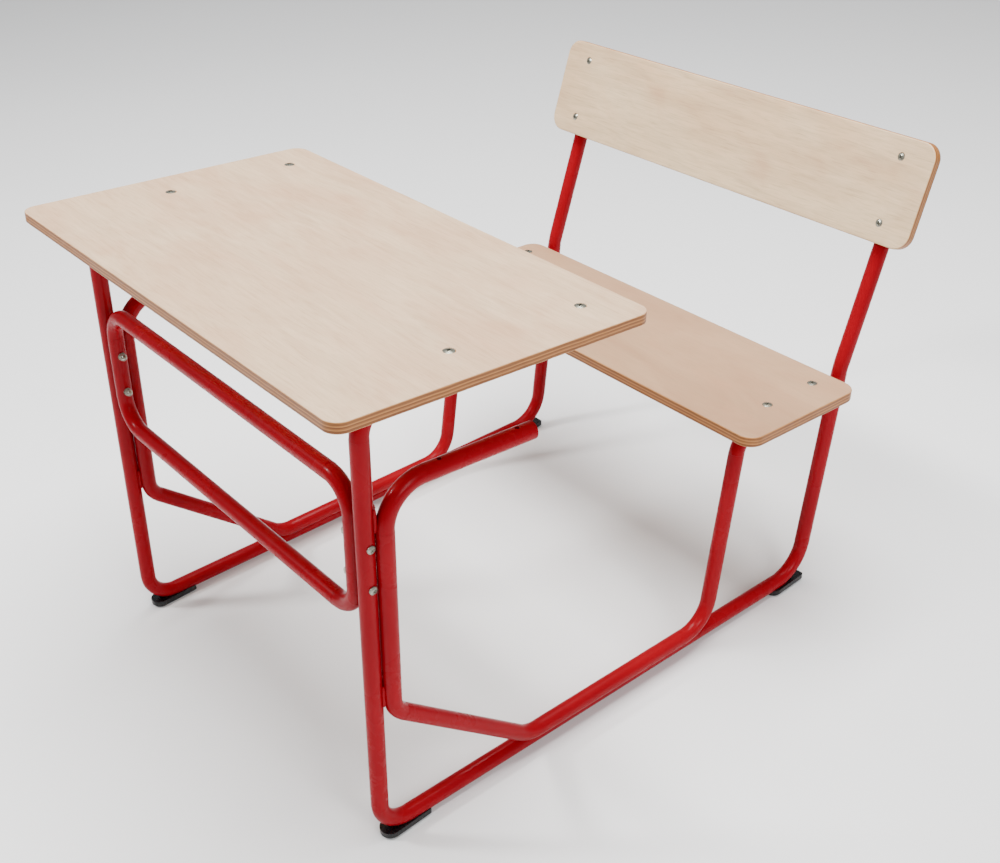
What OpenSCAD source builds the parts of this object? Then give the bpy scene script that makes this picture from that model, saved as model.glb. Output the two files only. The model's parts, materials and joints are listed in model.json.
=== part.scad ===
// Combined school desk and bench: a sloping desktop, a bench seat and a backrest
// on two welded side frames of bent round tube, tied together by a closed tube loop.
// Millimetres, +Z up. The sitter faces -Y. The origin is on the floor, under the
// middle of the bounding box.

/* [Desktop] */
// Width of the desktop
table_w = 838; // [700:2:1000]
// Depth of the desktop, measured on the board
table_d = 492; // [460:2:560]
// Thickness of the desktop
table_t = 16; // [12:1:22]
// Height of the desktop's front top edge above the floor
table_h = 742; // [700:2:790]
// Fall of the desktop towards the sitter, in degrees
table_slope = 3.8; // [0:0.2:8]
// Corner radius of the desktop
table_corner = 22; // [10:1:50]

/* [Seat] */
// Width of the seat board
seat_w = 790; // [760:2:1000]
// Depth of the seat board
seat_d = 254; // [220:2:300]
// Thickness of the seat board
seat_t = 18; // [12:1:22]
// Height of the seat's front top edge above the floor
seat_h = 408; // [380:2:440]
// Distance from the desktop's front edge back to the seat's front edge
seat_y = 718; // [680:2:740]
// Fall of the seat towards the backrest, in degrees
seat_slope = 2.2; // [0:0.2:5]
// Corner radius of the seat board
seat_corner = 26; // [10:1:50]
// Sideways offset of the seat board from the middle of the frame
seat_shift = 14; // [-15:1:15]

/* [Backrest] */
// Width of the backrest board
back_w = 816; // [720:2:1000]
// Height of the backrest board, measured on the board
back_d = 166; // [140:2:200]
// Thickness of the backrest board
back_t = 16; // [12:1:22]
// Height of the middle of the backrest above the floor
back_h = 686; // [670:2:720]
// Corner radius of the backrest board
back_corner = 26; // [10:1:50]

/* [Tube frame] */
// Outer diameter of the frame tube
tube_d = 25.4; // [24:0.1:28]
// Wall thickness of the frame tube
tube_wall = 1.6; // [1:0.1:2.5]
// Distance between the middle planes of the two side frames
frame_gap = 700; // [600:2:800]
// Bend radius at the foot and under the desktop, on the tube's centre line
leg_bend = 46; // [36:1:60]
// Bend radius behind the rear glide
post_bend = 66; // [50:1:80]
// Bend radius of the brace tube's arm under the desktop
arm_bend = 60; // [45:1:70]
// Distance from the desktop's front edge back to the front leg at the floor
leg_y = 40; // [30:1:60]
// Lean of the front leg from the vertical, in degrees
leg_lean = 3; // [0:0.2:5]
// Distance from the desktop's front edge back to the rear post at the floor
post_y = 939; // [920:1:960]
// Lean of the rear post below the seat, in degrees
post_lean = 8.8; // [6:0.2:11]
// Lean of the rear post above the seat, in degrees
back_lean = 20; // [17:0.5:23]
// Height of the kink between the two parts of the rear post
kink_h = 401; // [393:1:408]
// Sideways offset of the brace tube from the main tube
brace_x = 12; // [6:1:16]
// Perpendicular distance from the desktop's top face to the middle of the arm
arm_drop = 148; // [120:1:170]
// Distance from the desktop's front edge back to the arm's free end
arm_end_y = 328; // [300:1:360]
// Height of the bend where the brace leaves the front leg
brace_h = 238; // [200:1:280]
// Slant of the brace below the horizontal, in degrees
brace_slant = 40.6; // [36:0.2:46]
// Distance from the desktop's front edge back to the seat support at the floor
support_y = 690; // [670:1:720]
// Distance from the desktop's front edge back to the seat support's upper bend
support_top_y = 761; // [740:1:780]

/* [Cross frame] */
// Height of the loop's upper tube, on its centre line
loop_top_h = 584; // [560:1:600]
// Height of the loop's lower tube, on its centre line
loop_low_h = 388; // [360:1:400]
// Bend radius of the loop's corners
loop_bend = 46; // [36:1:60]
// Heights of the two bolts that hold the loop to each front leg
loop_bolt_h = [448, 510]; // [420:2:540]

/* [Fasteners] */
// Shank diameter of the desktop and seat screws
board_screw_d = 8; // [6:1:8]
// Shank diameter of the backrest screws and the frame bolts
small_screw_d = 6; // [5:1:6]
// Distances of the desktop's screws from its front edge
table_screw_y = [213, 427]; // [100:1:440]
// Distances of the seat's screws from its front edge
seat_screw_y = [103, 211]; // [60:1:220]
// Distance of the backrest's screws from its upper and lower edges
back_screw_edge = 31; // [25:1:40]
// Diameter of the holes in the free arms
arm_hole_d = 7; // [5:0.5:8]
// Distances of the arm holes from the desktop's front edge
arm_hole_y = [178, 304]; // [160:1:310]

/* [Glides] */
// Thickness of a glide's sole under the tube
glide_t = 5; // [4:0.5:8]
// Length of a glide
glide_l = 82; // [70:1:95]
// Width of a glide at its round front end
glide_w = 33; // [30:1:38]
// Distances from the desktop's front edge back to the middles of the glides
glide_y = [81, 904]; // [70:1:915]

/* [Hidden] */
$fn = 64;

tube_r = tube_d / 2;
bore_r = tube_r - tube_wall;
rail_z = glide_t + tube_r;
// Lap of the straight lengths into the bends, and how much thinner the tube is there
lap = 0.5;
pinch = 0.25;
// Butt weld of the loop
weld_rise = 0.3;
weld_w = 3;
// Radial clearance of a screw in its hole, and of a nut on its thread
hole_gap = 0.4;
thread_gap = 0.05;
// Clearance of the seat run's coped end round the post
cope_gap = 0.3;
// How far the tubes stop short of the rear edge of the desktop and the top of the backrest
desk_tube_short = 40;
post_short = 18;
// Bend radii at the kink of the rear post and along the brace tube
kink_bend = 90;
brace_bend = 40;
run_bend = 60;
// Plug flange, spigot and its clearance, and the disc on a free arm
plug_t = 3;
spigot_l = 12;
spigot_gap = 0.1;
disc_t = 2;
// Screw heads, washers and nuts, and how far a shank stands past its nut
board_head_d = 2 * board_screw_d;
small_head_d = 2 * small_screw_d;
board_washer_d = 17;
small_washer_d = 12.5;
washer_t = 1.4;
board_nut_w = 13;
board_nut_h = 6.5;
small_nut_w = 10;
small_nut_h = 5;
screw_tail = 2;
// Pan heads of the frame bolts and their cap nuts
pan_h = 3.6;
pan_r = 11;
cap_nut_h = 6;
// Glide: peg, thickness of its narrower sole, rim height and plan of its tongue
peg_d = 8;
peg_h = 10;
peg_sink = 2;
glide_step = glide_t - 1.5;
glide_rim = 9;
glide_inset = 3.5;
glide_chamfer = 3;
glide_corner = 4;
glide_narrowing = 3.5;
// Distance between the centre lines of tubes that are welded or bolted side by side
beside = tube_d + 0.1;
// The same distance seen square to the plane of a side frame
touch = sqrt(beside * beside - brace_x * brace_x);
frame_x = frame_gap / 2;
right = frame_x;
left = -frame_x;

wood = [0.86, 0.77, 0.65];
red = [0.72, 0.05, 0.06];
steel = [0.72, 0.72, 0.70];
black = [0.06, 0.06, 0.06];

// --- Side frame, as corners [x, y, z, bend radius] in the plane of the tube ---

function lean_y(y, lean, z) = y + tan(lean) * (z - rail_z);
function table_z(y, drop) = table_h - tan(table_slope) * y - drop / cos(table_slope);
function seat_z(y, drop) = seat_h - tan(seat_slope) * (y - seat_y) - drop / cos(seat_slope);
// Where a leaning line through [y, rail_z] meets the level `drop` below the desktop
function leg_meets_table(y, drop) =
    (table_h - drop / cos(table_slope) - tan(table_slope) * (y - tan(leg_lean) * rail_z))
    / (1 + tan(table_slope) * tan(leg_lean));

desk_drop = table_t + tube_r;
desk_tube_end = table_d - desk_tube_short;
leg_top_z = leg_meets_table(leg_y, desk_drop);
kink_y = lean_y(post_y, post_lean, kink_h);
post_top_z = back_h + (back_d / 2 - post_short) * cos(back_lean);
post_top_y = kink_y + tan(back_lean) * (post_top_z - kink_h);
main_path = [
    [0, desk_tube_end, table_z(desk_tube_end, desk_drop), 0],
    [0, lean_y(leg_y, leg_lean, leg_top_z), leg_top_z, leg_bend],
    [0, leg_y, rail_z, leg_bend],
    [0, post_y, rail_z, post_bend],
    [0, kink_y, kink_h, kink_bend],
    [0, post_top_y, post_top_z, 0]];

// Straight part of the rear post that the seat run is coped to
post_path = [[0, post_y, rail_z, 0], [0, kink_y, kink_h, 0]];

// The brace tube's upright lies against the back of the front leg
brace_y = leg_y + touch / cos(leg_lean);
brace_top_z = leg_meets_table(brace_y, arm_drop);
brace_low_y = lean_y(brace_y, leg_lean, brace_h);
run_z = rail_z + touch;
run_y = brace_low_y + (brace_h - run_z) / tan(brace_slant);
seat_run_drop = seat_t + tube_r;
seat_run_end = lean_y(post_y, post_lean, seat_z(post_y, seat_run_drop));
brace_path = [
    [brace_x, arm_end_y, table_z(arm_end_y, arm_drop), 0],
    [brace_x, lean_y(brace_y, leg_lean, brace_top_z), brace_top_z, arm_bend],
    [brace_x, brace_low_y, brace_h, brace_bend],
    [brace_x, run_y, run_z, run_bend],
    [brace_x, support_y, run_z, run_bend],
    [0, support_top_y, seat_z(support_top_y, seat_run_drop), brace_bend],
    [0, seat_run_end, seat_z(seat_run_end, seat_run_drop), 0]];

// Loop between the legs, in the leaning plane of the front legs
loop_x = frame_x - beside;
loop_top_y = lean_y(leg_y, leg_lean, loop_top_h);
loop_low_y = lean_y(leg_y, leg_lean, loop_low_h);
loop_seam_z = loop_top_h - loop_bend - weld_w - lap;
loop_seam_y = lean_y(leg_y, leg_lean, loop_seam_z);
loop_path = [
    [loop_x, loop_seam_y, loop_seam_z, 0],
    [loop_x, loop_top_y, loop_top_h, loop_bend],
    [-loop_x, loop_top_y, loop_top_h, loop_bend],
    [-loop_x, loop_low_y, loop_low_h, loop_bend],
    [loop_x, loop_low_y, loop_low_h, loop_bend],
    [loop_x, loop_seam_y, loop_seam_z, 0]];

// The bounding box runs from the desktop's lower front edge to the top of the posts
box_front = -table_t * sin(table_slope);
box_back = post_top_y + plug_t * sin(back_lean) + tube_r * cos(back_lean);
mid_y = (box_front + box_back) / 2;

// --- Bent tube through corners ---

function unit(v) = v / norm(v);
function corner(p) = [p[0], p[1], p[2]];
function heading(path, i) = unit(corner(path[i + 1]) - corner(path[i]));
function turn(path, i) = acos(max(-1, min(1, heading(path, i - 1) * heading(path, i))));
function setback(path, i) =
    (i == 0 || i == len(path) - 1) ? 0 : path[i][3] * tan(turn(path, i) / 2);

// Places children with their X, Y and Z axes along a, b and a x b
module along(a, b, at) {
    c = cross(a, b);
    multmatrix([
        [a[0], b[0], c[0], at[0]],
        [a[1], b[1], c[1], at[1]],
        [a[2], b[2], c[2], at[2]],
        [0, 0, 0, 1]])
        children();
}

// Solid round bar along the path. The straight lengths run `lap` into the bends, which are
// `pinch` thinner. `extra` lengthens the ends of an open bar; a butt weld closes a loop.
module bent_bar(path, r, extra = 0) {
    last = len(path) - 1;
    closed = norm(corner(path[last]) - corner(path[0])) < 0.01;
    for (i = [0 : last - 1]) {
        d = heading(path, i);
        side = unit(cross(d, abs(d[0]) > 0.9 ? [0, 1, 0] : [1, 0, 0]));
        start = corner(path[i]) + d * (i == 0 ? -extra : setback(path, i) - lap);
        end = corner(path[i + 1]) - d * (i == last - 1 ? -extra : setback(path, i + 1) - lap);
        along(side, cross(d, side), start) {
            cylinder(r = r, h = norm(end - start));
            if (closed && i == 0) cylinder(r = r + weld_rise, h = weld_w, center = true);
        }
    }
    for (i = [1 : last - 1]) {
        bend = path[i][3];
        d = heading(path, i - 1);
        inward = unit(heading(path, i) - d * (heading(path, i) * d));
        centre = corner(path[i]) - d * setback(path, i) + inward * bend;
        along(-inward, d, centre)
            rotate_extrude(angle = turn(path, i)) translate([bend, 0]) circle(r = r - pinch);
    }
}

module bent_tube(path, extra = 1) {
    difference() {
        bent_bar(path, tube_r);
        bent_bar(path, bore_r, extra);
    }
}

// --- Frames of reference ---

module in_box() {
    translate([0, -mid_y, 0]) children();
}

module at_side(side) {
    in_box() translate([side, 0, 0]) children();
}

// Board planes: X across, Y from the front or lower edge, Z out of the visible face
module on_table() {
    in_box() translate([0, 0, table_h]) rotate([-table_slope, 0, 0]) children();
}

module on_seat() {
    in_box() translate([0, seat_y, seat_h]) rotate([-seat_slope, 0, 0]) children();
}

module on_back() {
    axis_y = kink_y + tan(back_lean) * (back_h - kink_h);
    in_box() translate([0, axis_y - (back_t + tube_r) / cos(back_lean), back_h])
        rotate([90 - back_lean, 0, 0]) translate([0, -back_d / 2, 0]) children();
}

module at_table_screws() {
    for (x = [left, right], y = table_screw_y) on_table() translate([x, y, 0]) children();
}

module at_seat_screws() {
    for (x = [left, right], y = seat_screw_y) on_seat() translate([x, y, 0]) children();
}

module at_back_screws() {
    for (x = [left, right], y = [back_screw_edge, back_d - back_screw_edge])
        on_back() translate([x, y, 0]) children();
}

// X out of the frame's outer side, at the middle of the leg
module at_loop_bolts(sides = [left, right]) {
    for (x = sides, z = loop_bolt_h)
        in_box() translate([x, lean_y(leg_y, leg_lean, z), z])
            rotate([0, sign(x) * 90, 0]) children();
}

// --- Boards ---

// Flat board with round corners: X across its middle, Y from its front edge, top at Z 0
module board(w, d, t, corner_r) {
    translate([0, 0, -t]) {
        translate([-w / 2 + corner_r, 0, 0]) cube([w - 2 * corner_r, d, t]);
        translate([-w / 2, corner_r, 0]) cube([w, d - 2 * corner_r, t]);
        for (x = [-w / 2 + corner_r, w / 2 - corner_r], y = [corner_r, d - corner_r])
            translate([x, y, 0]) cylinder(r = corner_r, h = t);
    }
}

// Hole for a countersunk screw through a board
module screw_hole(d, head_d, depth) {
    translate([0, 0, -depth - 1]) cylinder(d = d + 2 * hole_gap, h = depth + 2);
    countersink(d, head_d, 0.1);
}

// Countersink: cone with a straight rim that reaches above the face
module countersink(d, head_d, gap) {
    cone_h = (head_d - d) / 2;
    rotate_extrude()
        polygon([
            [0, 1], [head_d / 2 + gap, 1], [head_d / 2 + gap, -gap],
            [d / 2 + gap, -cone_h - gap], [0, -cone_h - gap]]);
}

module tabletop() {
    color(wood)
        difference() {
            on_table() board(table_w, table_d, table_t, table_corner);
            at_table_screws() screw_hole(board_screw_d, board_head_d, table_t);
        }
}

module seat_board() {
    color(wood)
        difference() {
            on_seat() translate([seat_shift, 0, 0]) board(seat_w, seat_d, seat_t, seat_corner);
            at_seat_screws() screw_hole(board_screw_d, board_head_d, seat_t);
        }
}

module backrest_board() {
    color(wood)
        difference() {
            on_back() board(back_w, back_d, back_t, back_corner);
            at_back_screws() screw_hole(small_screw_d, small_head_d, back_t);
        }
}

// --- Tubes ---

// Straight hole along the local -Z axis through a tube below a board
module tube_hole(d, depth) {
    translate([0, 0, -depth]) cylinder(d = d + 2 * hole_gap, h = depth);
}

module peg_holes() {
    for (y = glide_y) translate([0, y, 0]) cylinder(d = peg_d + 2 * hole_gap, h = rail_z);
}

module main_tube(side) {
    color(red)
        difference() {
            at_side(side) bent_tube(main_path);
            at_side(side) peg_holes();
            at_table_screws() tube_hole(board_screw_d, table_t + tube_d + 2);
            at_back_screws() tube_hole(small_screw_d, back_t + tube_d + 2);
            at_loop_bolts([side])
                translate([0, 0, -tube_d]) cylinder(d = small_screw_d + 2 * hole_gap, h = 2 * tube_d);
        }
}

module brace_tube(side) {
    color(red)
        difference() {
            at_side(side) bent_tube(brace_path);
            at_side(side) bent_bar(post_path, tube_r + cope_gap);
            at_seat_screws() tube_hole(board_screw_d, seat_t + tube_d + 2);
            at_side(side)
                for (y = arm_hole_y)
                    translate([brace_x, y, table_z(y, arm_drop) - tube_d])
                        cylinder(d = arm_hole_d, h = 2 * tube_d);
        }
}

module right_main_tube() { main_tube(right); }
module left_main_tube() { main_tube(left); }
module right_brace_tube() { brace_tube(right); }
module left_brace_tube() { brace_tube(left); }

module cross_frame() {
    color(red)
        difference() {
            in_box() bent_tube(loop_path, extra = 0);
            at_loop_bolts()
                translate([0, 0, -2 * tube_d]) cylinder(d = small_screw_d + 2 * hole_gap, h = 2 * tube_d);
        }
}

// --- Fasteners: head at Z 0, shank along -Z ---

// Oval countersunk head with a cross recess and a plain shank
module oval_screw(d, head_d, length) {
    cone_h = (head_d - d) / 2;
    dome_h = head_d * 0.1;
    dome_r = (head_d * head_d / 4 + dome_h * dome_h) / (2 * dome_h);
    difference() {
        union() {
            translate([0, 0, -length]) cylinder(d = d, h = length);
            rotate_extrude() polygon([[0, 0], [head_d / 2, 0], [d / 2, -cone_h], [0, -cone_h]]);
            intersection() {
                translate([0, 0, dome_h - dome_r]) sphere(r = dome_r, $fn = 96);
                cylinder(d = head_d, h = dome_h + 1);
            }
        }
        cross_recess(head_d, dome_h);
    }
}

module cross_recess(head_d, top) {
    slot_l = head_d * 0.5;
    slot_w = head_d * 0.12;
    depth = head_d * 0.22;
    for (a = [0, 90])
        rotate([0, 0, a + 30]) translate([-slot_l / 2, -slot_w / 2, top - depth])
            cube([slot_l, slot_w, depth + 1]);
}

module hex_nut(d, across, h) {
    difference() {
        cylinder(d = across / cos(30), h = h, $fn = 6);
        translate([0, 0, -1]) cylinder(d = d + 2 * thread_gap, h = h + 2);
    }
}

module washer(d, outer_d) {
    difference() {
        cylinder(d = outer_d, h = washer_t);
        translate([0, 0, -1]) cylinder(d = d + 2 * hole_gap, h = washer_t + 2);
    }
}

// Domed nut: hexagon with a closed round cap, opening along +Z
module cap_nut(d, across, h) {
    cap_r = across * 0.44;
    difference() {
        union() {
            translate([0, 0, -h]) cylinder(d = across / cos(30), h = h, $fn = 6);
            intersection() {
                translate([0, 0, -h]) sphere(r = cap_r);
                translate([0, 0, -h - cap_r]) cylinder(r = cap_r, h = cap_r);
            }
        }
        translate([0, 0, -h - 1]) cylinder(d = d + 2 * thread_gap, h = h + 2);
    }
}

// Depths below the board faces of the washers and nuts under the tubes
table_grip = table_t + tube_d;
seat_grip = seat_t + tube_d;
back_grip = back_t + tube_d;

module tabletop_screws() {
    color(steel) at_table_screws()
        oval_screw(board_screw_d, board_head_d, table_grip + washer_t + board_nut_h + screw_tail);
}

module tabletop_washers() {
    color(steel) at_table_screws()
        translate([0, 0, -table_grip - washer_t]) washer(board_screw_d, board_washer_d);
}

module tabletop_nuts() {
    color(steel) at_table_screws()
        translate([0, 0, -table_grip - washer_t - board_nut_h])
            hex_nut(board_screw_d, board_nut_w, board_nut_h);
}

module seat_screws() {
    color(steel) at_seat_screws()
        oval_screw(board_screw_d, board_head_d, seat_grip + washer_t + board_nut_h + screw_tail);
}

module seat_washers() {
    color(steel) at_seat_screws()
        translate([0, 0, -seat_grip - washer_t]) washer(board_screw_d, board_washer_d);
}

module seat_nuts() {
    color(steel) at_seat_screws()
        translate([0, 0, -seat_grip - washer_t - board_nut_h])
            hex_nut(board_screw_d, board_nut_w, board_nut_h);
}

module backrest_screws() {
    color(steel) at_back_screws()
        oval_screw(small_screw_d, small_head_d, back_grip + washer_t + small_nut_h + screw_tail);
}

module backrest_washers() {
    color(steel) at_back_screws()
        translate([0, 0, -back_grip - washer_t]) washer(small_screw_d, small_washer_d);
}

module backrest_nuts() {
    color(steel) at_back_screws()
        translate([0, 0, -back_grip - washer_t - small_nut_h])
            hex_nut(small_screw_d, small_nut_w, small_nut_h);
}

// Pan-head bolts through the leg and the loop, their heads on the outer sides
module frame_bolts() {
    grip = 2 * tube_d + washer_t + cap_nut_h;
    color(steel) at_loop_bolts() difference() {
        union() {
            translate([0, 0, tube_r - grip]) cylinder(d = small_screw_d, h = grip);
            translate([0, 0, tube_r]) intersection() {
                cylinder(d = small_head_d, h = pan_h);
                translate([0, 0, pan_h - pan_r]) sphere(r = pan_r);
            }
        }
        cross_recess(small_head_d, tube_r + pan_h);
    }
}

module frame_washers() {
    color(steel) at_loop_bolts()
        translate([0, 0, -tube_r - tube_d - washer_t]) washer(small_screw_d, small_washer_d);
}

module frame_cap_nuts() {
    color(steel) at_loop_bolts()
        translate([0, 0, -tube_r - tube_d - washer_t])
            cap_nut(small_screw_d, small_nut_w, cap_nut_h);
}

// --- Glides and plugs ---

// One layer of a glide: a round front end and a narrowing tongue with round rear corners
module glide_layer(inset, front_low_r, h) {
    front_r = glide_w / 2;
    front_y = front_r - glide_l / 2;
    rear_y = glide_l / 2 - inset;
    half = front_r - inset;
    rear_half = half - glide_narrowing;
    translate([0, front_y, 0]) cylinder(r1 = front_low_r, r2 = front_r, h = h);
    linear_extrude(h)
        polygon([
            [-half, front_y], [half, front_y], [rear_half, rear_y - glide_corner],
            [rear_half - glide_corner, rear_y], [glide_corner - rear_half, rear_y],
            [-rear_half, rear_y - glide_corner]]);
    for (x = [-1, 1] * (rear_half - glide_corner))
        translate([x, rear_y - glide_corner, 0]) cylinder(r = glide_corner, h = h);
}

// Glide under the floor run: a sole, a trough for the tube and a peg into its bore
module glide(side, y) {
    color(black) {
        difference() {
            at_side(side) translate([0, y, 0]) {
                glide_layer(glide_inset, glide_w / 2 - glide_chamfer, glide_step);
                translate([0, 0, glide_step]) glide_layer(0, glide_w / 2, glide_rim);
            }
            at_side(side) bent_bar(main_path, tube_r);
        }
        at_side(side) translate([0, y, glide_t - peg_sink]) cylinder(d = peg_d, h = peg_h);
    }
}

module right_front_glide() { glide(right, glide_y[0]); }
module right_rear_glide() { glide(right, glide_y[1]); }
module left_front_glide() { glide(left, glide_y[0]); }
module left_rear_glide() { glide(left, glide_y[1]); }

// Plug in the end of the path: a flange as wide as the tube and a spigot in its bore
module end_plug(path, i, inner) {
    d = unit(corner(path[i]) - corner(path[inner]));
    along([1, 0, 0], cross(d, [1, 0, 0]), corner(path[i])) {
        cylinder(r = tube_r, h = plug_t);
        translate([0, 0, -spigot_l]) cylinder(r = bore_r - spigot_gap, h = spigot_l);
    }
}

module right_post_plug() { color(black) at_side(right) end_plug(main_path, 5, 4); }
module left_post_plug() { color(black) at_side(left) end_plug(main_path, 5, 4); }
module right_desk_tube_plug() { color(black) at_side(right) end_plug(main_path, 0, 1); }
module left_desk_tube_plug() { color(black) at_side(left) end_plug(main_path, 0, 1); }

// Steel disc that closes the free end of an arm
module arm_disc(side) {
    d = unit(corner(brace_path[0]) - corner(brace_path[1]));
    color(red) at_side(side)
        along([1, 0, 0], cross(d, [1, 0, 0]), corner(brace_path[0]))
            cylinder(r = tube_r, h = disc_t);
}

module right_arm_disc() { arm_disc(right); }
module left_arm_disc() { arm_disc(left); }

tabletop();
seat_board();
backrest_board();
right_main_tube();
left_main_tube();
right_brace_tube();
left_brace_tube();
cross_frame();
tabletop_screws();
tabletop_washers();
tabletop_nuts();
seat_screws();
seat_washers();
seat_nuts();
backrest_screws();
backrest_washers();
backrest_nuts();
frame_bolts();
frame_washers();
frame_cap_nuts();
right_front_glide();
right_rear_glide();
left_front_glide();
left_rear_glide();
right_post_plug();
left_post_plug();
right_desk_tube_plug();
left_desk_tube_plug();
right_arm_disc();
left_arm_disc();
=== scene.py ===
"""Looks of the student desk chair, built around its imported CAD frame.

Everything is in metres in the CAD frame: X across, Y from the desk to the backrest, Z up.
"""
import json
import math

import bmesh
import bpy
from mathutils import Matrix, Vector, noise


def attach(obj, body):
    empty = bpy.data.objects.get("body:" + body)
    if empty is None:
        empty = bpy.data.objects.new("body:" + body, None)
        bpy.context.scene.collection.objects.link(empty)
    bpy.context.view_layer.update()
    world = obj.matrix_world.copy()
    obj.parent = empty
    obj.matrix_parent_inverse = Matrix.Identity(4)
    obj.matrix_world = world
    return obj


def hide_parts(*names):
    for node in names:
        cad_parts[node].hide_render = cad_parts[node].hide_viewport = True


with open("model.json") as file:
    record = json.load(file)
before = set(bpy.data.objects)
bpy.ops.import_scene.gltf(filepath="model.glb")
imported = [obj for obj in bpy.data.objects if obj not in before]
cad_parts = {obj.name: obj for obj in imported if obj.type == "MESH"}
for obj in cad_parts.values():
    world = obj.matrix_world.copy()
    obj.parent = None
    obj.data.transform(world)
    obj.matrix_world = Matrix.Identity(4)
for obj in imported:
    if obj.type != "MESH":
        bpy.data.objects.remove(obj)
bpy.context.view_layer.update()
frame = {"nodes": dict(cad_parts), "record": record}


# ---------------------------------------------------------------- materials

# Sockets of the colour Mix node, which shares their names among its float, vector and colour ones
MIX_AMOUNT, MIX_A, MIX_B, MIX_RESULT = 0, 6, 7, 2


def rgb(r, g, b):
    return (r, g, b, 1.0)


class Shader:
    """A material, with short calls for its nodes."""

    def __init__(self, name):
        self.material = bpy.data.materials.new(name)
        self.material.use_nodes = True
        self.nodes = self.material.node_tree.nodes
        self.links = self.material.node_tree.links
        self.principled = self.nodes["Principled BSDF"]

    def add(self, kind, sockets=None, **settings):
        node = self.nodes.new("ShaderNode" + kind)
        for key, value in settings.items():
            setattr(node, key, value)
        for key, value in (sockets or {}).items():
            self.put(node.inputs[key], value)
        return node

    def put(self, socket, value):
        if isinstance(value, bpy.types.NodeSocket):
            self.links.new(value, socket)
        else:
            socket.default_value = value

    def surface(self, **sockets):
        """Sets the surface shader: a node's output is linked, a number is set on its own socket."""
        for key, value in sockets.items():
            self.put(self.principled.inputs[key.replace("_", " ")], value)

    def coordinates(self, scale=(1, 1, 1), offset=(0, 0, 0)):
        source = self.add("TexCoord").outputs["Object"]
        mapping = self.add("Mapping", {"Vector": source, "Scale": scale, "Location": offset})
        return mapping.outputs["Vector"]

    def own_height(self):
        """Z in the object's own frame."""
        return self.add("SeparateXYZ", {"Vector": self.coordinates()}).outputs["Z"]

    def noise(self, vector, scale=1, detail=3, rough=0.5, distortion=0.0):
        node = self.add("TexNoise", {"Vector": vector, "Scale": scale, "Detail": detail,
                                     "Roughness": rough, "Distortion": distortion})
        return node.outputs["Fac"]

    def remap(self, value, low, high, to_low=0.0, to_high=1.0):
        node = self.add("MapRange", {"Value": value, "From Min": low, "From Max": high,
                                     "To Min": to_low, "To Max": to_high})
        return node.outputs["Result"]

    def math(self, operation, a, b=0.0):
        node = self.add("Math", operation=operation)
        self.put(node.inputs[0], a)
        self.put(node.inputs[1], b)
        return node.outputs[0]

    def mix(self, amount, a, b):
        node = self.add("Mix", data_type="RGBA")
        self.put(node.inputs[MIX_AMOUNT], amount)
        self.put(node.inputs[MIX_A], a)
        self.put(node.inputs[MIX_B], b)
        return node.outputs[MIX_RESULT]

    def ramp(self, value, stops):
        node = self.add("ValToRGB", {"Fac": value})
        elements = node.color_ramp.elements
        while len(elements) < len(stops):
            elements.new(1.0)
        for element, (position, colour) in zip(elements, stops):
            element.position = position
            element.color = colour
        return node.outputs["Color"]

    def bump(self, height, strength, distance):
        node = self.add("Bump", {"Height": height, "Strength": strength, "Distance": distance})
        return node.outputs["Normal"]


STREAK = rgb(0.37, 0.235, 0.132)
PORE = rgb(0.30, 0.180, 0.092)
STAIN = rgb(0.44, 0.235, 0.130)
FACE_DEPTH, PLY_DEPTH = 0.0005, 0.0010      # the face's looks hold to the first, the plies' from the second

PLY_LIGHT = rgb(0.42, 0.170, 0.042)
PLY_TAN = rgb(0.265, 0.090, 0.019)
PLY_BROWN = rgb(0.160, 0.047, 0.009)
PLY_DARK = rgb(0.085, 0.022, 0.004)
PLY_RUBBED = rgb(0.40, 0.165, 0.042)
PLY_BLOTCH = rgb(0.075, 0.022, 0.006)
PLY_WAVE = 0.00035                          # how far a ply's line strays from flat

# The plies by share of the board's thickness, from its visible face to its hidden one
PLIES = (
    (0.00, PLY_LIGHT), (0.10, PLY_LIGHT), (0.135, PLY_DARK), (0.16, PLY_BROWN), (0.27, PLY_BROWN),
    (0.31, PLY_TAN), (0.35, PLY_LIGHT), (0.42, PLY_LIGHT), (0.45, PLY_DARK), (0.49, PLY_BROWN),
    (0.60, PLY_TAN), (0.64, PLY_LIGHT), (0.71, PLY_LIGHT), (0.74, PLY_DARK), (0.79, PLY_BROWN),
    (0.90, PLY_BROWN), (0.935, PLY_LIGHT), (1.00, PLY_LIGHT))


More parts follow.
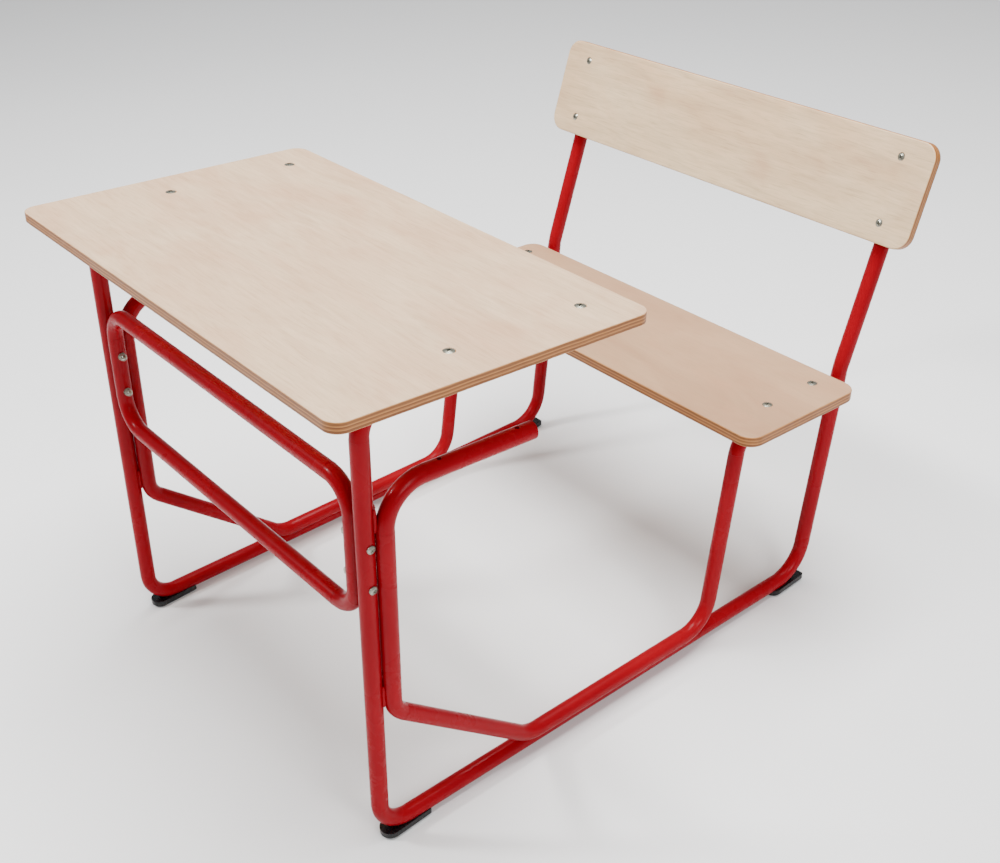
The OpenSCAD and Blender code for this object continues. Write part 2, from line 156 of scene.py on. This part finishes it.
def plywood(name, thickness, pale, warm, seed):
    """Birch-faced plywood: depth in the board picks the face veneer or the edge plies."""
    s = Shader(name)

    # Face: long cathedral streaks along X, fine pores, soft stains
    streaks = s.noise(s.coordinates((5.5, 46, 1), (seed, 0, 0)), detail=6, rough=0.62, distortion=1.3)
    fine = s.noise(s.coordinates((22, 420, 1), (seed, 0, 0)), rough=0.6, distortion=0.4)
    cloud = s.noise(s.coordinates((3.8, 8.5, 1), (seed, 3, 0)), detail=4, rough=0.6, distortion=0.8)
    stain = s.noise(s.coordinates((9, 17, 1), (seed, 7, 0)), detail=2, distortion=0.6)
    face = s.mix(s.remap(cloud, 0.34, 0.66), pale, warm)
    face = s.mix(s.remap(streaks, 0.40, 0.70, to_high=0.42), face, STREAK)
    face = s.mix(s.remap(fine, 0.50, 0.74, to_high=0.42), face, PORE)
    face = s.mix(s.remap(stain, 0.56, 0.76, to_high=0.34), face, STAIN)

    # Edge: plies of crossed grain, their lines a little wavy
    z = s.own_height()
    wave = s.noise(s.coordinates((26, 26, 60)), detail=2)
    wavy = s.math("ADD", z, s.remap(wave, 0.3, 0.7, -PLY_WAVE, PLY_WAVE))
    plies = s.ramp(s.math("DIVIDE", wavy, -thickness), PLIES)
    along = s.noise(s.coordinates((16, 16, 900), (seed, seed, 0)), detail=4, rough=0.65)
    plies = s.mix(s.remap(along, 0.35, 0.70, to_high=0.40), plies, PLY_RUBBED)
    blotch = s.noise(s.coordinates((11, 11, 45), (seed, seed, 4)), rough=0.6)
    plies = s.mix(s.remap(blotch, 0.58, 0.78, to_high=0.45), plies, PLY_BLOTCH)

    flat_depth = s.math("DIVIDE", z, -thickness)
    from_middle = s.math("ABSOLUTE", s.math("SUBTRACT", flat_depth, 0.5))
    on_face = s.remap(from_middle, 0.5 - PLY_DEPTH / thickness, 0.5 - FACE_DEPTH / thickness)

    ply_relief = s.math("MULTIPLY", s.math("SUBTRACT", 1.0, on_face), along)
    relief = s.math("ADD", s.math("MULTIPLY", ply_relief, 1.2), s.math("MULTIPLY", fine, 0.10))
    s.surface(
        Base_Color=s.mix(on_face, plies, face),
        Roughness=s.remap(cloud, 0.3, 0.7, 0.40, 0.52),
        Normal=s.bump(relief, strength=0.35, distance=0.0004),
        Specular_IOR_Level=0.30,
        Coat_Weight=0.04,
        Coat_Roughness=0.30)
    return s.material


RED, RED_DEEP = rgb(0.265, 0.0018, 0.0075), rgb(0.220, 0.0012, 0.0058)
RED_SCUFFED = rgb(0.40, 0.020, 0.026)
CHIPPED = rgb(0.50, 0.40, 0.37)


def red_enamel():
    """Glossy stove enamel with orange peel, dulled patches and a few chips."""
    s = Shader("red_enamel")
    patches = s.noise(s.coordinates(), scale=7, detail=2)
    peel = s.noise(s.coordinates(), scale=420, detail=2)
    ripple = s.noise(s.coordinates(), scale=60)
    scuff = s.noise(s.coordinates(), scale=46, detail=4, rough=0.6, distortion=0.4)
    chips = s.noise(s.coordinates(offset=(3, 1, 2)), scale=62, detail=4, rough=0.62, distortion=0.6)
    chip_zone = s.noise(s.coordinates(offset=(5, 8, 1)), scale=7, detail=2)

    red = s.mix(s.remap(patches, 0.35, 0.68), RED, RED_DEEP)
    red = s.mix(s.remap(scuff, 0.60, 0.82, to_high=0.06), red, RED_SCUFFED)
    worn = s.math("MULTIPLY", s.remap(chips, 0.745, 0.765), s.remap(chip_zone, 0.55, 0.62))
    dull = s.remap(patches, 0.30, 0.72, 0.24, 0.32)
    relief = s.math("ADD", s.math("MULTIPLY", peel, 0.12), s.math("MULTIPLY", ripple, 0.25))
    relief = s.math("SUBTRACT", relief, s.math("MULTIPLY", worn, 0.8))
    s.surface(
        Base_Color=s.mix(worn, red, CHIPPED),
        Roughness=s.math("ADD", dull, s.remap(scuff, 0.50, 0.80, to_high=0.10)),
        Normal=s.bump(relief, strength=0.18, distance=0.0006),
        Specular_IOR_Level=0.05,
        Coat_Weight=0.06,
        Coat_Roughness=0.07)
    return s.material


ZINC, ZINC_TARNISHED = rgb(0.36, 0.355, 0.295), rgb(0.17, 0.165, 0.130)


def zinc_plate():
    """Bright zinc plating, scratched by tools and slightly tarnished."""
    s = Shader("zinc_plate")
    tarnish = s.noise(s.coordinates(), scale=190, detail=4, rough=0.6)
    scratch = s.noise(s.coordinates((900, 120, 900)), rough=0.6, distortion=0.4)
    s.surface(
        Base_Color=s.mix(s.remap(tarnish, 0.35, 0.68), ZINC, ZINC_TARNISHED),
        Roughness=s.remap(tarnish, 0.3, 0.7, 0.20, 0.42),
        Normal=s.bump(scratch, strength=0.25, distance=0.0002),
        Metallic=0.92)
    return s.material


BLACK, BLACK_RUBBED = rgb(0.0035, 0.0035, 0.0042), rgb(0.13, 0.128, 0.125)
RUB_HEIGHT = 0.010                          # the rubbing fades out this far above the floor


def black_moulding():
    """Glossy black moulded plastic with scuffs where it rubs the floor."""
    s = Shader("black_moulding")
    grain = s.noise(s.coordinates(), scale=900, detail=2)
    scuff = s.noise(s.coordinates((70, 260, 70)), detail=4, rough=0.65, distortion=0.5)
    low = s.remap(s.own_height(), 0.0, RUB_HEIGHT, 0.26, 0.02)
    rub = s.math("MULTIPLY", s.remap(scuff, 0.52, 0.74), low)
    s.surface(
        Base_Color=s.mix(rub, BLACK, BLACK_RUBBED),
        Roughness=s.remap(scuff, 0.35, 0.70, 0.20, 0.38),
        Normal=s.bump(grain, strength=0.10, distance=0.0002),
        Specular_IOR_Level=0.30)
    return s.material


FLOOR_PALE, FLOOR_PALER = rgb(0.86, 0.86, 0.86), rgb(0.89, 0.89, 0.885)


def pale_floor():
    """Matt studio floor, hardly mottled."""
    s = Shader("pale_floor")
    drift = s.noise(s.coordinates(), scale=0.8, detail=2)
    s.surface(
        Base_Color=s.mix(drift, FLOOR_PALE, FLOOR_PALER),
        Roughness=s.remap(drift, 0.3, 0.7, 0.85, 0.92))
    return s.material


def wear(obj, material):
    obj.data.materials.clear()
    obj.data.materials.append(material)


# ---------------------------------------------------------------- mesh help

SAME_SPOT = 1e-6            # vertices of a CAD node closer than this are one
CORNER_STEPS = 14           # segments of a board's round corner, seen from above
EDGE_STEPS = 4              # segments of its eased edge
CREASE = math.radians(32)   # a board's edges from this angle up stay sharp
HOLE_SIDES = 32
HOLE_GAP = 0.0001           # clearance all round a screw
PAST_FACE, PAST_BACK = 0.001, 0.002     # how far a cutter stands out of the board


def new_piece(name, bm, material):
    mesh = bpy.data.meshes.new(name)
    bm.to_mesh(mesh)
    bm.free()
    obj = bpy.data.objects.new(name, mesh)
    bpy.context.scene.collection.objects.link(obj)
    wear(obj, material)
    return obj


def apply_modifiers(obj):
    depsgraph = bpy.context.evaluated_depsgraph_get()
    mesh = bpy.data.meshes.new_from_object(obj.evaluated_get(depsgraph), depsgraph=depsgraph)
    old = obj.data
    obj.modifiers.clear()
    obj.data = mesh
    bpy.data.meshes.remove(old)


def turns(count):
    """Angles of a full circle in equal steps."""
    return [math.tau * i / count for i in range(count)]


def skin(bm, rings):
    """Closed surface over rings of vertices that all have the same count."""
    count = len(rings[0])
    for ring, following in zip(rings, rings[1:]):
        for i in range(count):
            j = (i + 1) % count
            bm.faces.new((ring[i], following[i], following[j], ring[j]))
    bm.faces.new(rings[0])
    bm.faces.new(reversed(rings[-1]))


def board_frame(mount):
    """Object matrix of a board: X across, Z out of its visible face, from its mount in the record."""
    out = Vector(mount["axis"]).normalized()
    across = Vector((1, 0, 0))
    up = out.cross(across)
    turn = Matrix((across, up, out)).transposed().to_4x4()
    return Matrix.Translation(mount["pos_m"]) @ turn


def outline(width, depth, corner):
    """Points of a rectangle with round corners, anticlockwise."""
    points = []
    for quarter, (sx, sy) in enumerate(((1, 1), (-1, 1), (-1, -1), (1, -1))):
        for i in range(CORNER_STEPS + 1):
            a = math.radians(90) * (quarter + i / CORNER_STEPS)
            points.append((sx * (width / 2 - corner) + corner * math.cos(a),
                           sy * (depth / 2 - corner) + corner * math.sin(a)))
    return points


def islands(node):
    """Centre of each separate solid in a CAD node."""
    mesh = frame["nodes"][node].data
    bm = bmesh.new()
    bm.from_mesh(mesh)
    bmesh.ops.remove_doubles(bm, verts=bm.verts, dist=SAME_SPOT)
    seen, centres = set(), []
    for start in bm.verts:
        if start in seen:
            continue
        stack, low, high = [start], start.co.copy(), start.co.copy()
        seen.add(start)
        while stack:
            vert = stack.pop()
            low = Vector(map(min, low, vert.co))
            high = Vector(map(max, high, vert.co))
            for edge in vert.link_edges:
                other = edge.other_vert(vert)
                if other not in seen:
                    seen.add(other)
                    stack.append(other)
        centres.append((low + high) / 2)
    bm.free()
    return centres


def drill(board, screws, screw_r, head_r, depth):
    """Cuts a countersunk hole for each screw, with a little clearance all round."""
    hole_r, sink_r = screw_r + HOLE_GAP, head_r + HOLE_GAP
    sink_depth = head_r - screw_r + HOLE_GAP
    profile = ((sink_r, PAST_FACE), (sink_r, -HOLE_GAP),
               (hole_r, -sink_depth), (hole_r, -depth - PAST_BACK))
    to_board = board.matrix_world.inverted()
    bm = bmesh.new()
    for centre in islands(screws):
        at = to_board @ centre
        rings = [[bm.verts.new((at.x + r * math.cos(a), at.y + r * math.sin(a), z))
                  for a in turns(HOLE_SIDES)] for r, z in profile]
        for lower, upper in zip(rings[1:], rings):
            for i in range(HOLE_SIDES):
                j = (i + 1) % HOLE_SIDES
                bm.faces.new((lower[i], lower[j], upper[j], upper[i]))
        bm.faces.new(rings[0])
        bm.faces.new(reversed(rings[-1]))
    bmesh.ops.recalc_face_normals(bm, faces=bm.faces)
    mesh = bpy.data.meshes.new("holes")
    bm.to_mesh(mesh)
    bm.free()
    cutter = bpy.data.objects.new("holes", mesh)
    bpy.context.scene.collection.objects.link(cutter)
    cutter.matrix_world = board.matrix_world
    modifier = board.modifiers.new("holes", "BOOLEAN")
    modifier.operation = "DIFFERENCE"
    modifier.solver = "EXACT"
    modifier.object = cutter
    bpy.context.view_layer.update()
    apply_modifiers(board)
    bpy.data.objects.remove(cutter)


def board_piece(name, node, mount, size, corner, rounding, material, screws, screw_r, head_r):
    """A plywood board with its edges eased by hand sanding, drilled for its screws."""
    width, depth, thickness = size
    quarter = [math.radians(90) * i / EDGE_STEPS for i in range(EDGE_STEPS + 1)]
    eased = [(rounding * (1 - math.sin(a)), -rounding * (1 - math.cos(a))) for a in quarter]
    eased += [(inset, -thickness - z) for inset, z in reversed(eased)]
    bm = bmesh.new()
    skin(bm, [[bm.verts.new((x, y, z))
               for x, y in outline(width - 2 * inset, depth - 2 * inset, corner - inset)]
              for inset, z in eased])
    bmesh.ops.recalc_face_normals(bm, faces=bm.faces)
    piece = new_piece(name, bm, material)
    piece.matrix_world = board_frame(mount)
    bpy.context.view_layer.update()
    drill(piece, screws, screw_r, head_r, thickness)

    for polygon in piece.data.polygons:
        polygon.use_smooth = True
    bm = bmesh.new()
    bm.from_mesh(piece.data)
    for edge in bm.edges:
        edge.smooth = len(edge.link_faces) == 2 and edge.calc_face_angle(0.0) < CREASE
    bm.to_mesh(piece.data)
    bm.free()
    weighted = piece.modifiers.new("weighted", "WEIGHTED_NORMAL")
    weighted.keep_sharp = True
    apply_modifiers(piece)
    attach(piece, "root")
    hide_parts(node)


# ---------------------------------------------------------------- the boards

mounts = {m["name"]: m for m in frame["record"]["mounts"]}
TOP_SIZE = (0.838, 0.492, 0.016)
SEAT_SIZE = (0.790, 0.254, 0.018)
BACK_SIZE = (0.816, 0.166, 0.016)

top_ply = plywood("desk_ply", TOP_SIZE[2], rgb(0.590, 0.425, 0.272), rgb(0.525, 0.335, 0.205), 0.0)
seat_ply = plywood("seat_ply", SEAT_SIZE[2], rgb(0.430, 0.260, 0.150), rgb(0.365, 0.200, 0.112), 5.0)
back_ply = plywood("back_ply", BACK_SIZE[2], rgb(0.665, 0.500, 0.305), rgb(0.600, 0.400, 0.225), 11.0)

board_piece("writing_top", "tabletop", mounts["writing_surface"], TOP_SIZE, corner=0.022, rounding=0.0016,
            material=top_ply, screws="tabletop_screws", screw_r=0.004, head_r=0.008)
board_piece("seat", "seat_board", mounts["seat_surface"], SEAT_SIZE, corner=0.026, rounding=0.0022,
            material=seat_ply, screws="seat_screws", screw_r=0.004, head_r=0.008)
board_piece("backrest", "backrest_board", mounts["back_surface"], BACK_SIZE, corner=0.026, rounding=0.0022,
            material=back_ply, screws="backrest_screws", screw_r=0.003, head_r=0.006)

# ---------------------------------------------------------------- steel and plastic

enamel, zinc, black = red_enamel(), zinc_plate(), black_moulding()
for node_name, node in frame["nodes"].items():
    if any(word in node_name for word in ("plug", "glide")):
        wear(node, black)
    elif any(word in node_name for word in ("screw", "bolt", "nut", "washer")):
        wear(node, zinc)
    elif any(word in node_name for word in ("tube", "disc", "cross_frame")):
        wear(node, enamel)

# ---------------------------------------------------------------- weld beads

SIDES = {"right": 0.35, "left": -0.35}              # X of the two side frames' main tubes
TUBE_R = 0.0127
LEG_FOOT_Y, LEG_LEAN = -0.5281, math.radians(3)     # front leg's centre line at the rail's height
RAIL_Z = 0.0177                                     # centre line of the floor rail
RUN_FRONT_Y, RUN_REAR_Y = -0.250, 0.100             # straight part of the run on the rail
BESIDE = Vector((0.0120, 0.0225))                   # from a main tube to the brace tube, across both
SEAT_RUN_END = Vector((0, 0.42493, 0.36671))        # where the seat run meets the rear post
SEAT_SLOPE, POST_LEAN = math.radians(2.2), math.radians(8.8)

WELD_LENGTH = 0.035
RUN_WELDS = {"front": (RUN_FRONT_Y, RUN_FRONT_Y + WELD_LENGTH),
             "rear": (RUN_REAR_Y - WELD_LENGTH, RUN_REAR_Y)}
LEG_WELDS = {"low": (0.250, 0.285), "high": (0.530, 0.565)}

BEAD_R, POST_BEAD_R = 0.0027, 0.0021
BEAD_STEP, BEAD_SIDES = 0.0008, 12
BEAD_TIP, TIP_STEPS = 0.35, 4           # share of the radius at a bead's ends, and steps to all of it
RIPPLE, RIPPLE_STEPS = 0.13, 3.6        # share of the radius, and steps from one ripple to the next
UNEVEN, UNEVEN_SCALE = 0.22, 240        # share of the radius, and scale of the noise
GROOVE_LIFT = 0.55                      # middle of a bead off the tubes' walls, in bead radii
COPE_LIFT = 0.35                        # the same off the wall of a seat run
COPE_BACK = 0.0006                      # and how far it keeps from the post
COPE_STEPS = 48


def resample(path, step):
    """Points a step apart along a path of points."""
    points = [Vector(path[0])]
    for start, end in zip(path, path[1:]):
        start, end = Vector(start), Vector(end)
        count = max(1, round((end - start).length / step))
        points += [start.lerp(end, i / count) for i in range(1, count + 1)]
    return points


def bead(name, path, radius=BEAD_R):
    """A hand-laid weld bead along the path: rippled, uneven and tapered at both ends."""
    bm = bmesh.new()
    rings = []
    points = resample(path, BEAD_STEP)
    last = len(points) - 1
    for i, point in enumerate(points):
        ahead = (points[min(i + 1, last)] - points[max(i - 1, 0)]).normalized()
        side = ahead.orthogonal().normalized()
        up = ahead.cross(side)
        ripple = RIPPLE * math.sin(i * math.tau / RIPPLE_STEPS)
        r = radius * min(1.0, BEAD_TIP + (1 - BEAD_TIP) * min(i, last - i) / TIP_STEPS)
        r *= 1 + ripple + UNEVEN * noise.noise(point * UNEVEN_SCALE)
        rings.append([bm.verts.new(point + r * (math.cos(a) * side + math.sin(a) * up))
                      for a in turns(BEAD_SIDES)])
    skin(bm, rings)
    bmesh.ops.recalc_face_normals(bm, faces=bm.faces)
    for face in bm.faces:
        face.smooth = True
    piece = new_piece(name, bm, enamel)
    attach(piece, "root")


def groove(sign):
    """Middle of a bead in the groove between two tubes side by side, in the plane across them."""
    half = BESIDE / 2
    out = Vector((BESIDE.y, -BESIDE.x)).normalized() * sign
    reach = math.sqrt((TUBE_R + GROOVE_LIFT * BEAD_R) ** 2 - half.length ** 2)
    return half + out * reach


def cope_rim(x):
    """Path round the coped end of a side frame's seat run, where it meets the rear post."""
    across = Vector((1, 0, 0))
    run = Vector((0, math.cos(SEAT_SLOPE), -math.sin(SEAT_SLOPE)))
    post = Vector((0, math.sin(POST_LEAN), math.cos(POST_LEAN)))
    normal = across.cross(run)
    reach = TUBE_R + COPE_LIFT * BEAD_R
    skew = normal.cross(post).x / run.cross(post).x
    rim = []
    for i in range(COPE_STEPS + 1):
        a = math.tau * i / COPE_STEPS
        outward = reach * (math.cos(a) * across + math.sin(a) * normal)
        back = abs(math.sin(a)) * reach + COPE_BACK - math.sin(a) * reach * skew
        rim.append(x * across + SEAT_RUN_END + outward - run * back)
    return rim


for label, x in SIDES.items():
    for where, sign in (("outer", 1), ("inner", -1)):
        across = groove(sign)
        for spot, ends in RUN_WELDS.items():
            bead(f"weld_run_{spot}_{where}_{label}",
                 [(x + across.x, y, RAIL_Z + across.y) for y in ends])
        for spot, ends in LEG_WELDS.items():
            bead(f"weld_leg_{spot}_{where}_{label}",
                 [(x + across.x, LEG_FOOT_Y + across.y + math.tan(LEG_LEAN) * (z - RAIL_Z), z)
                  for z in ends])
    bead(f"weld_post_{label}", cope_rim(x), POST_BEAD_R)

# ---------------------------------------------------------------- floor, light and camera

FLOOR_HALF = 60
FLOOR_GAP = 0.0005          # the floor lies this far below the glides

bm = bmesh.new()
bmesh.ops.create_grid(bm, x_segments=8, y_segments=8, size=FLOOR_HALF)
floor_mesh = bpy.data.meshes.new("floor")
bm.to_mesh(floor_mesh)
bm.free()
floor = bpy.data.objects.new("floor", floor_mesh)
floor.location.z = -FLOOR_GAP
bpy.context.scene.collection.objects.link(floor)
wear(floor, pale_floor())


def softbox(name, place, target, size, watts):
    light = bpy.data.lights.new(name, "AREA")
    light.shape = "RECTANGLE"
    light.size, light.size_y = size
    light.energy = watts
    obj = bpy.data.objects.new(name, light)
    obj.location = place
    obj.rotation_euler = (Vector(target) - Vector(place)).to_track_quat("-Z", "Y").to_euler()
    bpy.context.scene.collection.objects.link(obj)


softbox("overhead", place=(0.0, 0.2, 3.6), target=(0, 0, 0.3), size=(2.4, 2.4), watts=300)
softbox("key", place=(-1.9, -2.6, 3.0), target=(0, 0, 0.4), size=(0.45, 0.45), watts=110)
softbox("fill", place=(3.4, -0.6, 2.4), target=(0, 0, 0.4), size=(1.2, 1.6), watts=70)

world = bpy.data.worlds.new("studio")
world.use_nodes = True
background = world.node_tree.nodes["Background"]
background.inputs["Color"].default_value = rgb(0.97, 0.98, 1.0)
background.inputs["Strength"].default_value = 0.50
bpy.context.scene.world = world

# Camera: from the front right of the desk, looking down at it
AIM = Vector((-0.102, 0.042, 0.145))
AZIMUTH, ELEVATION, ROLL = math.radians(52.34), math.radians(33.77), math.radians(-2.75)
DISTANCE = 2.450
outward = Vector((math.sin(AZIMUTH) * math.cos(ELEVATION), -math.cos(AZIMUTH) * math.cos(ELEVATION),
                  math.sin(ELEVATION)))
camera_data = bpy.data.cameras.new("camera")
camera_data.lens = 48.73
camera_data.sensor_width = 36
camera_data.shift_x, camera_data.shift_y = 0.0131, 0.0429
camera_data.dof.use_dof = False
camera = bpy.data.objects.new("camera", camera_data)
bpy.context.scene.collection.objects.link(camera)
facing = (-outward).to_track_quat("-Z", "Y").to_matrix().to_4x4()
camera.matrix_world = (Matrix.Translation(AIM + DISTANCE * outward) @ facing
                       @ Matrix.Rotation(ROLL, 4, "Z"))
bpy.context.scene.camera = camera
